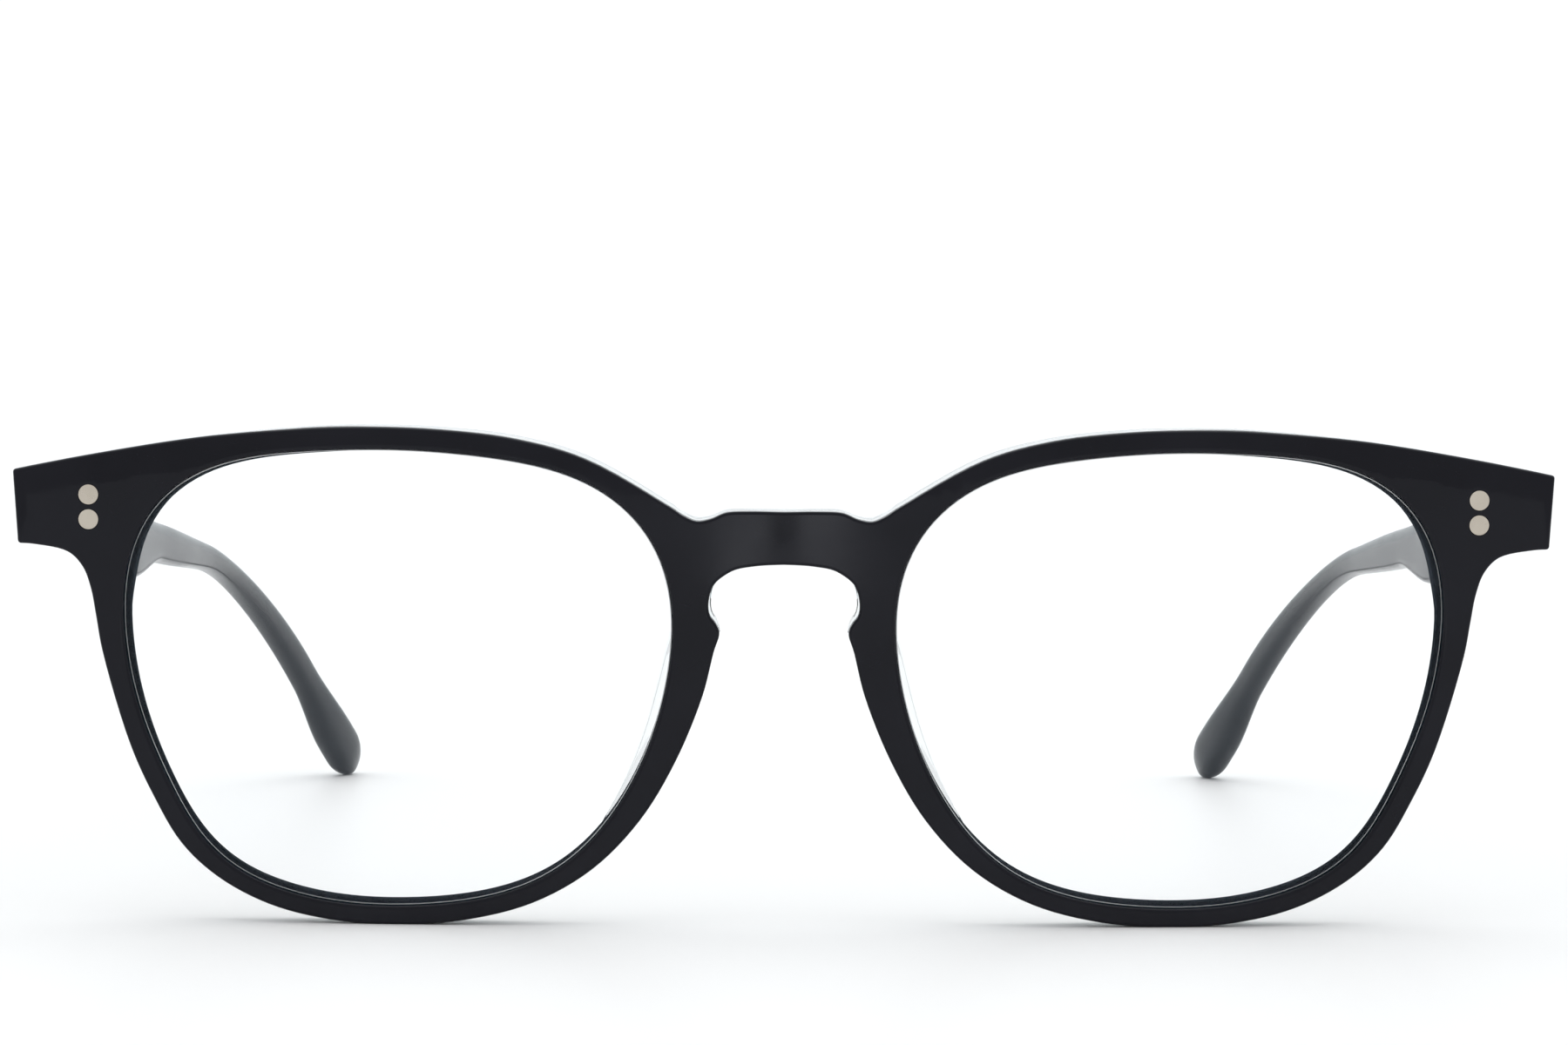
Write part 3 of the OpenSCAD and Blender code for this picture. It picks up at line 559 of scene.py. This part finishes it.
def polished(name, low_colour, high_colour, low_rough, high_rough, depth=1.0, scale=1.0):
    """A material whose colour, roughness and normal vary with the polish marks."""
    paint = bpy.data.materials.new(name)
    paint.use_nodes = True
    nodes, links = paint.node_tree.nodes, paint.node_tree.links
    shader = nodes["Principled BSDF"]
    marks = nodes.new("ShaderNodeGroup")
    marks.node_tree = polish
    set_inputs(marks, {"Scale": scale, "Depth": depth})
    set_inputs(marks, {"Low Roughness": low_rough, "High Roughness": high_rough})
    ramp = nodes.new("ShaderNodeValToRGB")
    tones = ((0.35, low_colour), (0.65, high_colour))
    for stop, (position, colour) in zip(ramp.color_ramp.elements, tones):
        stop.position = position
        stop.color = (*colour, 1)
    links.new(marks.outputs["Mask"], ramp.inputs["Fac"])
    links.new(ramp.outputs["Color"], shader.inputs["Base Color"])
    links.new(marks.outputs["Roughness"], shader.inputs["Roughness"])
    links.new(marks.outputs["Normal"], shader.inputs["Normal"])
    return paint, shader


acetate_ior = 1.48
black_acetate, shader = polished(
    "black_acetate", (0.004, 0.004, 0.006), (0.0065, 0.0065, 0.0095), 0.05, 0.12)
set_inputs(shader, {"IOR": acetate_ior, "Specular IOR Level": 0.215})
set_inputs(shader, {"Specular Tint": (0.9, 0.92, 1.0, 1)})
black_face.data.materials.append(black_acetate)

# The walls of the apertures are left as the router cuts them, matt. On the clear crystal layer's
# aperture walls this dark colour is painted shade.
black_wall_and_painted_shade, shader = polished(
    "black_wall_and_painted_shade", (0.006, 0.009, 0.012), (0.010, 0.014, 0.019), 0.5, 0.7, depth=2.0)
set_inputs(shader, {"Specular IOR Level": 0.0})
black_face.data.materials.append(black_wall_and_painted_shade)

# ---------------------------------------------------------------------------------------
# Crystal backing layer: clear acetate laminated behind the black one and milled on the
# rear. It stays thick behind the bridge, and behind the end pieces as a flat hinge seat.
# ---------------------------------------------------------------------------------------
bridge_extra, end_extra, block_root = 1.5, 1.8, 0.4
seat_y = float(bent(rivet_x, rim_t + end_extra))
barrel_l, barrel_gap = 1.08, 0.05
plate_t, plate_w, plate_h = 0.8, 4.2, 5 * barrel_l + 4 * barrel_gap
temple_out, temple_t = front_reach - 0.5, 4.0
# The hinge pin stands inside the temple, and the plate's middle further in
pin_in, plate_in = 1.7, 0.6
plate_x = temple_out - temple_t - pin_in - plate_in
# Where the thick parts start, how long their ramps are, and where the flat hinge seats start
bridge_block, bridge_ramp, bridge_block_z = 11.0, 3.0, lens_z + 7
end_block, end_ramp, end_block_z = lens_x + lens_w * 0.4, 4.0, end_foot - 7
seat_x, seat_z = rivet_x - 6, end_foot - 5
# Depth of the clear layer's front, a hair into the joint, and of the hinge pocket's floor
joint_depth, pocket_y = face_t - 0.03, seat_y - plate_t - bore_gap


def block_rear(x, z, x0, x1, ramp0, ramp1, z0, rise, extra):
    """Rear surface of a thick part of the crystal layer, or nothing outside it. It climbs
    over a ramp from each side, and from below over the rise."""
    root = rim_t - block_root
    share = np.clip((x - x0) / ramp0, 0, 1)
    if ramp1:
        share = np.minimum(share, np.clip((x1 - x) / ramp1, 0, 1))
    rear = bent(x, root + (extra + block_root) * share)
    low = min(bent(x0, root), bent(x1, root + (0 if ramp1 else extra + block_root)))
    high = max(bent(x0 + ramp0, rim_t + extra), bent(x1 - ramp1, rim_t + extra)) + 0.1
    rear = np.minimum(rear, low + (high - low) * np.clip((z - z0) / rise, 0, 1))
    return np.where((x > x0) & (x < x1) & (z > z0), rear, 0)


def rear_height(plane):
    """Depth of the finished rear, with its thick parts and flat hinge seats."""
    x, z = plane[:, 0], plane[:, 1]
    at_bridge = block_rear(
        x, z, -bridge_block, bridge_block, bridge_ramp, bridge_ramp, bridge_block_z,
        rise=3, extra=bridge_extra)
    at_ends = block_rear(
        np.abs(x), z, end_block, front_reach + 1, end_ramp, 0, end_block_z,
        rise=6, extra=end_extra)
    rear = np.maximum(np.maximum(bent(x, rim_t), at_bridge), at_ends)
    on_seat = (np.abs(x) > seat_x) & (z > seat_z)
    return np.where(on_seat, np.minimum(rear, seat_y), rear)


def flat_at(y):
    """A flat surface square to the view from ahead."""
    return lambda plane: np.full(len(plane), y)


def stadium(x, z, w, h, count=12):
    """A closed loop round a hinge plate's pocket, anticlockwise."""
    turns = np.linspace(0, math.pi, count)
    top = [(x + w / 2 * math.cos(t), z + (h - w) / 2 + w / 2 * math.sin(t)) for t in turns]
    return np.array(top + [(2 * x - p[0], 2 * z - p[1]) for p in top])


lens_rear = 2.4
# Inset, share of the lip, and depth of each ring from the joint with the black layer
rear_rings = [
    (0.05, 0, joint_depth), (0, 0, face_t + 0.02), (0, 0, lens_rear + 0.03),
    (0, 1, lens_rear + 0.12), (0, 1, rim_t - edge_round - 0.1),
]


def back_wall(loop, into, stands_in=0.0):
    """Rings along a loop, each moved into the material, from the joint to the rear."""
    stands_in = np.broadcast_to(stands_in, len(loop))
    wall = []
    for inset, share, depth in rear_rings:
        plane = loop + outward(loop) * into * (inset - share * stands_in)[:, None]
        wall.append((plane, at_depth(depth)(plane)))
    for inset, depth in edge_rings:
        plane = loop + outward(loop) * into * (inset - stands_in)[:, None]
        wall.append((plane, rear_height(plane) - depth))
    return wall


back = Sheet()
ends = [back.wall(back_wall(outline, -1))]
# The crystal's aperture walls, from the joint nearly to the rear edge, take the second material: a
# dark colour on clear acetate, which is painted shade
for aperture, stands_in in ((aperture_left, lip), (aperture_right, lip[::-1])):
    ends.append(back.wall(back_wall(aperture, 1, stands_in), second=range(5)))
joints, rears = (list(rings) for rings in zip(*ends))
for side in (-1, 1):
    pocket = stadium(side * plate_x, hinge_z, plate_w + 2 * bore_gap, plate_h + 2 * bore_gap)
    rim, floor = back.wall([(pocket, flat_at(y)(pocket)) for y in (seat_y, pocket_y)])
    rears.append(rim)
    bores = []
    for x, z in rivet_places:
        if x * side > 0:
            bore = circle(x, z, rivet_r + bore_gap)
            depths = at_depth(joint_depth)(bore), flat_at(pocket_y)(bore)
            near, far = back.wall([(bore, y) for y in depths])
            joints.append(near)
            bores.append(far)
    back.cap(floor, bores, flat_at(pocket_y), spacing=1.0, facing_front=False)
back.cap(joints[0], joints[1:], at_depth(joint_depth), spacing=1.6, facing_front=True)
back.cap(rears[0], rears[1:], rear_height, spacing=0.9, facing_front=False)
crystal_back = back.build("crystal_back")
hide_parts("front_back_layer")
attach(crystal_back, "front")


def see_through(paint, shader, tint):
    """Lets light for the shadows pass a clear material."""
    nodes, links = paint.node_tree.nodes, paint.node_tree.links
    ray = nodes.new("ShaderNodeLightPath")
    passing = set_inputs(nodes.new("ShaderNodeBsdfTransparent"), {"Color": (*tint, 1)})
    mix = nodes.new("ShaderNodeMixShader")
    links.new(ray.outputs["Is Shadow Ray"], mix.inputs["Fac"])
    links.new(shader.outputs["BSDF"], mix.inputs[1])
    links.new(passing.outputs["BSDF"], mix.inputs[2])
    links.new(mix.outputs["Shader"], nodes["Material Output"].inputs["Surface"])


def clear_acetate(name, low_colour, high_colour, shadow_tint):
    """Polished clear acetate of a tone."""
    paint, shader = polished(name, low_colour, high_colour, 0.02, 0.05, depth=0.6)
    set_inputs(shader, {"Transmission Weight": 1.0, "IOR": acetate_ior})
    see_through(paint, shader, shadow_tint)
    return paint


crystal_acetate = clear_acetate(
    "crystal_acetate", (0.85, 0.88, 0.89), (0.91, 0.93, 0.935), (0.85, 0.89, 0.91))
crystal_back.data.materials.append(crystal_acetate)
# Second material, for the aperture walls: the dark wall colour on clear acetate, painted shade
crystal_back.data.materials.append(black_wall_and_painted_shade)

# ---------------------------------------------------------------------------------------
# Lenses: plano resin lenses, 1.6 mm thick, each snapped into the groove round its aperture
# with a ground bevel, which shows as a thin bright line. They are coated against glare.
# ---------------------------------------------------------------------------------------
lens_t, groove_at, groove_w, groove_d, lens_gap = 1.6, 1.6, 1.1, 0.6, 0.05
lens_front, half_tongue = groove_at - lens_t / 2, groove_w / 2 - lens_gap
tongue_out = groove_d - lens_gap
# The lens is pressed a hair into the wall, so that no air shows between them
press = 0.02
# Outset from the aperture's wall and depth of each ring, from the front face round the edge
lens_rings = [
    (-0.13, lens_front), (-0.09, lens_front), (press, lens_front + 0.11),
    (press, groove_at - half_tongue), (tongue_out, groove_at - half_tongue + 0.25),
    (tongue_out, groove_at + half_tongue - 0.25), (press, groove_at + half_tongue),
    (press, lens_rear - 0.02), (-0.03, lens_rear), (-0.07, lens_rear),
]
ground_bands = (1, 3, 4, 5)
lens_resin = bpy.data.materials.new("lens_resin")
lens_resin.use_nodes = True
nodes, links = lens_resin.node_tree.nodes, lens_resin.node_tree.links
shader = set_inputs(nodes["Principled BSDF"], {
    "Transmission Weight": 1.0, "IOR": 1.5, "Roughness": 0.0,
    "Specular IOR Level": 0.15, "Specular Tint": (0.3, 0.34, 0.4, 1),
})
place = nodes.new("ShaderNodeTexCoord")
streaks = set_inputs(nodes.new("ShaderNodeTexNoise"), {"Scale": 40.0})
tint = nodes.new("ShaderNodeValToRGB")
tint.color_ramp.elements[0].color = (0.975, 0.985, 0.99, 1)
tint.color_ramp.elements[1].color = (0.985, 0.99, 0.995, 1)
links.new(place.outputs["Object"], streaks.inputs["Vector"])
links.new(streaks.outputs["Fac"], tint.inputs["Fac"])
links.new(tint.outputs["Color"], shader.inputs["Base Color"])
see_through(lens_resin, shader, (0.95, 0.96, 0.96))

ground_edge = bpy.data.materials.new("ground_lens_edge")
ground_edge.use_nodes = True
nodes, links = ground_edge.node_tree.nodes, ground_edge.node_tree.links
shader = set_inputs(nodes["Principled BSDF"], {"Transmission Weight": 0.35, "IOR": 1.5})
grit = set_inputs(nodes.new("ShaderNodeTexNoise"), {"Scale": 3000.0})
for target, low, high in (("Base Color", 0.75, 0.95), ("Roughness", 0.35, 0.6)):
    grit_range = set_inputs(nodes.new("ShaderNodeMapRange"), {"To Min": low, "To Max": high})
    links.new(grit.outputs["Fac"], grit_range.inputs["Value"])
    links.new(grit_range.outputs["Result"], shader.inputs[target])

for name, loop in (("left", aperture_left), ("right", aperture_right)):
    lens = Sheet()
    rings = []
    for outset, depth in lens_rings:
        plane = loop + outward(loop) * outset
        rings.append((plane, at_depth(depth)(plane)))
    fore, rear = lens.wall(rings, second=ground_bands)
    lens.cap(fore, [], at_depth(lens_front), spacing=1.5, facing_front=True)
    lens.cap(rear, [], at_depth(lens_rear), spacing=1.5, facing_front=False)
    piece = lens.build("clear_lens_" + name, smooth_angle=25)
    piece.data.materials.append(lens_resin)
    piece.data.materials.append(ground_edge)
    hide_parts("lens_" + name)
    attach(piece, "front")

# ---------------------------------------------------------------------------------------
# Nose pads: clear acetate pads glued to the back of the rims beside the nose and tumbled
# with the front, so that their edges are round.
# ---------------------------------------------------------------------------------------
pad_h, pad_w, pad_edge_h, pad_slope = 4.4, 3.3, 0.5, math.tan(math.radians(26))
# The pad's nasal side is filed narrower by pad_trim; its foot is sunk by pad_sunk in the rim
pad_trim, pad_sunk = 0.22, 0.04
pad_line = curve_through([
    (7.6, lens_z + 9.4), (7.75, lens_z + 7.2), (8.0, lens_z + 5), (8.4, lens_z + 2.2),
    (9.1, lens_z - 1.4), (10.2, lens_z - 5.2), (11.8, lens_z - 8.8), (13.9, lens_z - 12.2),
    (16.1, lens_z - 14.8), (18, lens_z - 16.5),
], closed=False)


def loft(name, rings, smooth_angle):
    """A smooth skin over rings of points, closed at both ends."""
    n, m = len(rings), len(rings[0])
    faces = [
        (i * m + k, i * m + (k + 1) % m, (i + 1) * m + (k + 1) % m, (i + 1) * m + k)
        for i in range(n - 1) for k in range(m)
    ]
    faces += [tuple(range(m - 1, -1, -1)), tuple(range((n - 1) * m, n * m))]
    return make_piece(name, [point for ring in rings for point in ring], faces, smooth_angle)


def pad_section(centre, along, share):
    """A crowned cross-section of the pad, which leans towards the nose."""
    out = np.array((along[1], -along[0])) / np.linalg.norm(along)
    h = pad_edge_h + (pad_h - pad_edge_h) * share
    w = pad_w * (0.55 + 0.45 * share)
    lean = h * pad_slope
    nasal = pad_trim - w / 2
    corners = np.array([
        (nasal, -pad_sunk), (nasal + 0.4 * lean, 0.45 * h), (-w / 2 + 0.95 * lean, 0.86 * h),
        (-w / 2 + 1.1 * lean + 0.35 * w, h), (-w / 2 + lean + 0.6 * w, 0.9 * h),
        (w / 2 + 0.3 * lean, 0.4 * h), (w / 2, -pad_sunk),
    ])
    before, after = 2 * corners[0] - corners[1], 2 * corners[-1] - corners[-2]
    ring = []
    for across, off in curve_through([before, *corners, after], closed=False, steps=4):
        x, z = centre - across * out
        ring.append((x, float(bent(x, rim_t)) + off, z))
    return ring


pad_last = len(pad_line) - 1
sections = []
for i in range(0, pad_last + 1, 2):
    # Full in its middle, and thin at both ends
    share = max(0.02, max(0.0, math.sin(math.pi * (i / pad_last) ** 0.85)) ** 0.7)
    along = pad_line[min(i + 1, pad_last)] - pad_line[max(i - 1, 0)]
    sections.append(pad_section(pad_line[i], along, share))
pad_acetate = clear_acetate(
    "pad_acetate", (0.95, 0.965, 0.97), (0.975, 0.985, 0.985), (0.88, 0.91, 0.92))
for name, side in (("left", 1), ("right", -1)):
    rings = [[(side * x, y, z) for x, y, z in section] for section in sections]
    pad = loft("nose_pad_clear_" + name, rings, smooth_angle=60)
    pad.data.materials.append(pad_acetate)
    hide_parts("nose_pad_" + name)
    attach(pad, "front")

# ---------------------------------------------------------------------------------------
# Temples: black acetate over a wire core. The end at the hinge is broad and flat, the
# lower edge steps up to a slender shaft, and the drop behind the ear ends in a paddle.
# ---------------------------------------------------------------------------------------
temple_l, bend_at, ear_r, drop = 135.0, 80.0, 60.0, 35.0
open_in, toe_in, ear_in, straight_l = 3.2, 5.6, 14.0, 13.0
level_out, level_l, regain_at, regain_l = 5.0, 26.0, 18.0, 34.0
temple_h, lobe_h, shaft_t, shaft_h = 6.7, 4.3, 3.0, 4.0
bend_t, bend_h, tip_t, paddle_h, paddle_l = 2.2, 2.4, 3.1, 5.0, 7.0
step_at, step_l, tip_round, butt_gap = 45.0, 13.0, 4.2, 0.1
bend_l = math.radians(drop) * ear_r


def ease(t):
    """A soft rise from 0 to 1."""
    t = min(1.0, max(0.0, t))
    return t * t * (3 - 2 * t)


def temple_dip(s, lean):
    """How steeply the temple falls at a length from the hinge, in degrees."""
    t = (s - regain_at) / regain_l
    regain = level_out * level_l / regain_l * ease(2 * min(t, 1 - t))
    ear_drop = drop * min(1.0, max(0.0, (s - bend_at) / bend_l))
    return lean + ear_drop - level_out * (1 - ease(s / level_l)) + regain


def temple_turn(s):
    """How far the temple turns inwards at a length from the hinge, in degrees."""
    along = max(0.0, (s - straight_l) / (temple_l - straight_l))
    ear_turn = ear_in * ease((s - bend_at + 5) / (bend_l + 10))
    return open_in * ease((s - straight_l) / 10) + toe_in * along + ear_turn


def eased(stations, s):
    """A table's value at a length, with soft steps from station to station."""
    for (s0, v0), (s1, v1) in zip(stations, stations[1:]):
        if s <= s1:
            return v0 + (v1 - v0) * ease((s - s0) / (s1 - s0))
    return stations[-1][1]


shaft_at, waist_at, paddle_at = step_at + step_l, bend_at + 10, temple_l - paddle_l
neck_at = paddle_at - 10
# The drop behind the ear is left a little fuller than the solid, at the sides and above
full_side, full_above = 0.2, 0.3
half_thick = [
    (0, temple_t / 2), (straight_l, temple_t / 2), (shaft_at, shaft_t / 2),
    (waist_at, bend_t / 2 + 0.8 * full_side), (neck_at, bend_t / 2 + full_side),
    (paddle_at, tip_t / 2 + 0.7 * full_side), (temple_l, tip_t / 2),
]
half_upper = [
    (0, temple_h / 2), (straight_l, temple_h / 2), (shaft_at, shaft_h * 0.53),
    (waist_at, bend_h / 2 + 0.5 * full_above), (neck_at, bend_h * 0.66 + full_above),
    (temple_l - 2.5, paddle_h * 0.44 + full_above), (temple_l, paddle_h * 0.44),
]
half_lower = [
    (0, temple_h / 2), (step_at, lobe_h), (shaft_at, shaft_h * 0.47),
    (waist_at, bend_h / 2), (neck_at, bend_h * 0.66), (paddle_at, paddle_h * 0.56),
]
# The acetate is filed a hair below the hinge plate and the rivets near the hinge
filed_off = [(0, 0.03), (straight_l, 0.03), (straight_l + 6, 0)]
# The section's soft rectangle, thickness across and height up. Away from the flat hinge end
# its edges are filed rounder, to a superellipse.
temple_section = np.clip(curve_through([
    (1, -0.5), (1, 0.5), (0.92, 0.79), (0.72, 0.94), (0.42, 1), (-0.42, 1), (-0.72, 0.94),
    (-0.92, 0.79), (-1, 0.5), (-1, -0.5), (-0.92, -0.79), (-0.72, -0.94), (-0.42, -1),
    (0.42, -1), (0.72, -0.94), (0.92, -0.79),
], closed=True, steps=3), -1, 1)
roundness = 2.7
filed_round = (np.abs(temple_section) ** roundness).sum(1) ** (-1 / roundness)
line_step = 0.5


def middle_line(lean):
    """Points along the temple's middle, a step apart."""
    p = np.array((temple_out - temple_t / 2, seat_y + butt_gap, hinge_z))
    line = [p]
    for i in range(int(temple_l / line_step) + 2):
        s = (i + 0.5) * line_step
        dip, turn = math.radians(temple_dip(s, lean)), math.radians(temple_turn(s))
        level = math.cos(dip)
        on = np.array((-math.sin(turn) * level, math.cos(turn) * level, -math.sin(dip)))
        p = p + line_step * on
        line.append(p)
    return line


def temple_ring(line, lean, s, shrink):
    """The temple's outline at a length from the hinge."""
    i = int(s / line_step)
    centre = line[i] + (line[i + 1] - line[i]) * (s / line_step - i)
    turn, dip = math.radians(temple_turn(s)), math.radians(temple_dip(s, lean)) * min(1.0, s / 10)
    out = np.array((math.cos(turn), math.sin(turn), 0))
    up = np.array((-math.sin(turn) * math.sin(dip), math.cos(turn) * math.sin(dip), math.cos(dip)))
    into_tip = max(0, s - (temple_l - tip_round)) / tip_round
    left = math.sqrt(max(0, 1 - into_tip ** 2))
    section = temple_section * (1 + (filed_round - 1) * ease((s - 15) / 20))[:, None]
    thick = eased(half_thick, s) * left - eased(filed_off, s) - shrink
    upper, lower = eased(half_upper, s) * left - shrink, eased(half_lower, s) * left - shrink
    return [
        centre + out * across * thick + up * above * (upper if above > 0 else lower)
        for across, above in section
    ]


# Length and shrinkage of each ring: round the hinge end's edge, along, and round the tip
temple_stations = [(0, 0.25), (0.03, 0.13), (0.1, 0.05), (0.25, 0)]
temple_stations += [(s, 0) for s in np.linspace(0.6, temple_l - tip_round, 110)]
for a in (8, 16, 25, 35, 45, 55, 65, 75, 83):
    temple_stations.append((temple_l - tip_round + tip_round * math.sin(math.radians(a)), 0))


def temple_rings(lean):
    """All rings of a temple that leans down by an angle from the hinge."""
    line = middle_line(lean)
    return [temple_ring(line, lean, s, shrink) for s, shrink in temple_stations]


# The lean that lets the tip rest on the table
low_lean, high_lean = -8.0, 24.0
for _ in range(15):
    lean = (low_lean + high_lean) / 2
    if min(p[2] for ring in temple_rings(lean)[-40:] for p in ring) > 0:
        low_lean = lean
    else:
        high_lean = lean
temple = temple_rings(lean)
temple_acetate, shader = polished(
    "temple_acetate", (0.0045, 0.005, 0.006), (0.007, 0.008, 0.0095), 0.13, 0.23)
set_inputs(shader, {"IOR": acetate_ior, "Specular IOR Level": 0.33})
set_inputs(shader, {"Specular Tint": (0.89, 0.96, 1.0, 1)})
for name, side in (("left", 1), ("right", -1)):
    rings = [[(side * x, y, z) for x, y, z in ring] for ring in temple]
    piece = loft("black_temple_" + name, rings, smooth_angle=50)
    piece.data.materials.append(temple_acetate)
    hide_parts("temple_" + name)
    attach(piece, "temple_" + name)

# ---------------------------------------------------------------------------------------
# Rivets, hinges and screws: turned and stamped nickel silver and steel, filed flush with
# the acetate. Their CAD pieces stay, in metal finishes, and so do the temples' wire cores.
# ---------------------------------------------------------------------------------------
nickel, shader = polished(
    "nickel_silver", (0.53, 0.48, 0.405), (0.59, 0.54, 0.46), 0.22, 0.36, depth=2.0, scale=4.0)
set_inputs(shader, {"Metallic": 1.0})
steel, shader = polished(
    "hinge_steel", (0.55, 0.55, 0.54), (0.66, 0.66, 0.65), 0.2, 0.34, depth=2.0, scale=4.0)
set_inputs(shader, {"Metallic": 1.0})
metals = {"rivet": nickel, "_hinge_": nickel, "screw": steel, "core": steel}
for name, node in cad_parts.items():
    for word, metal in metals.items():
        if word in name:
            node.data.materials.clear()
            node.data.materials.append(metal)
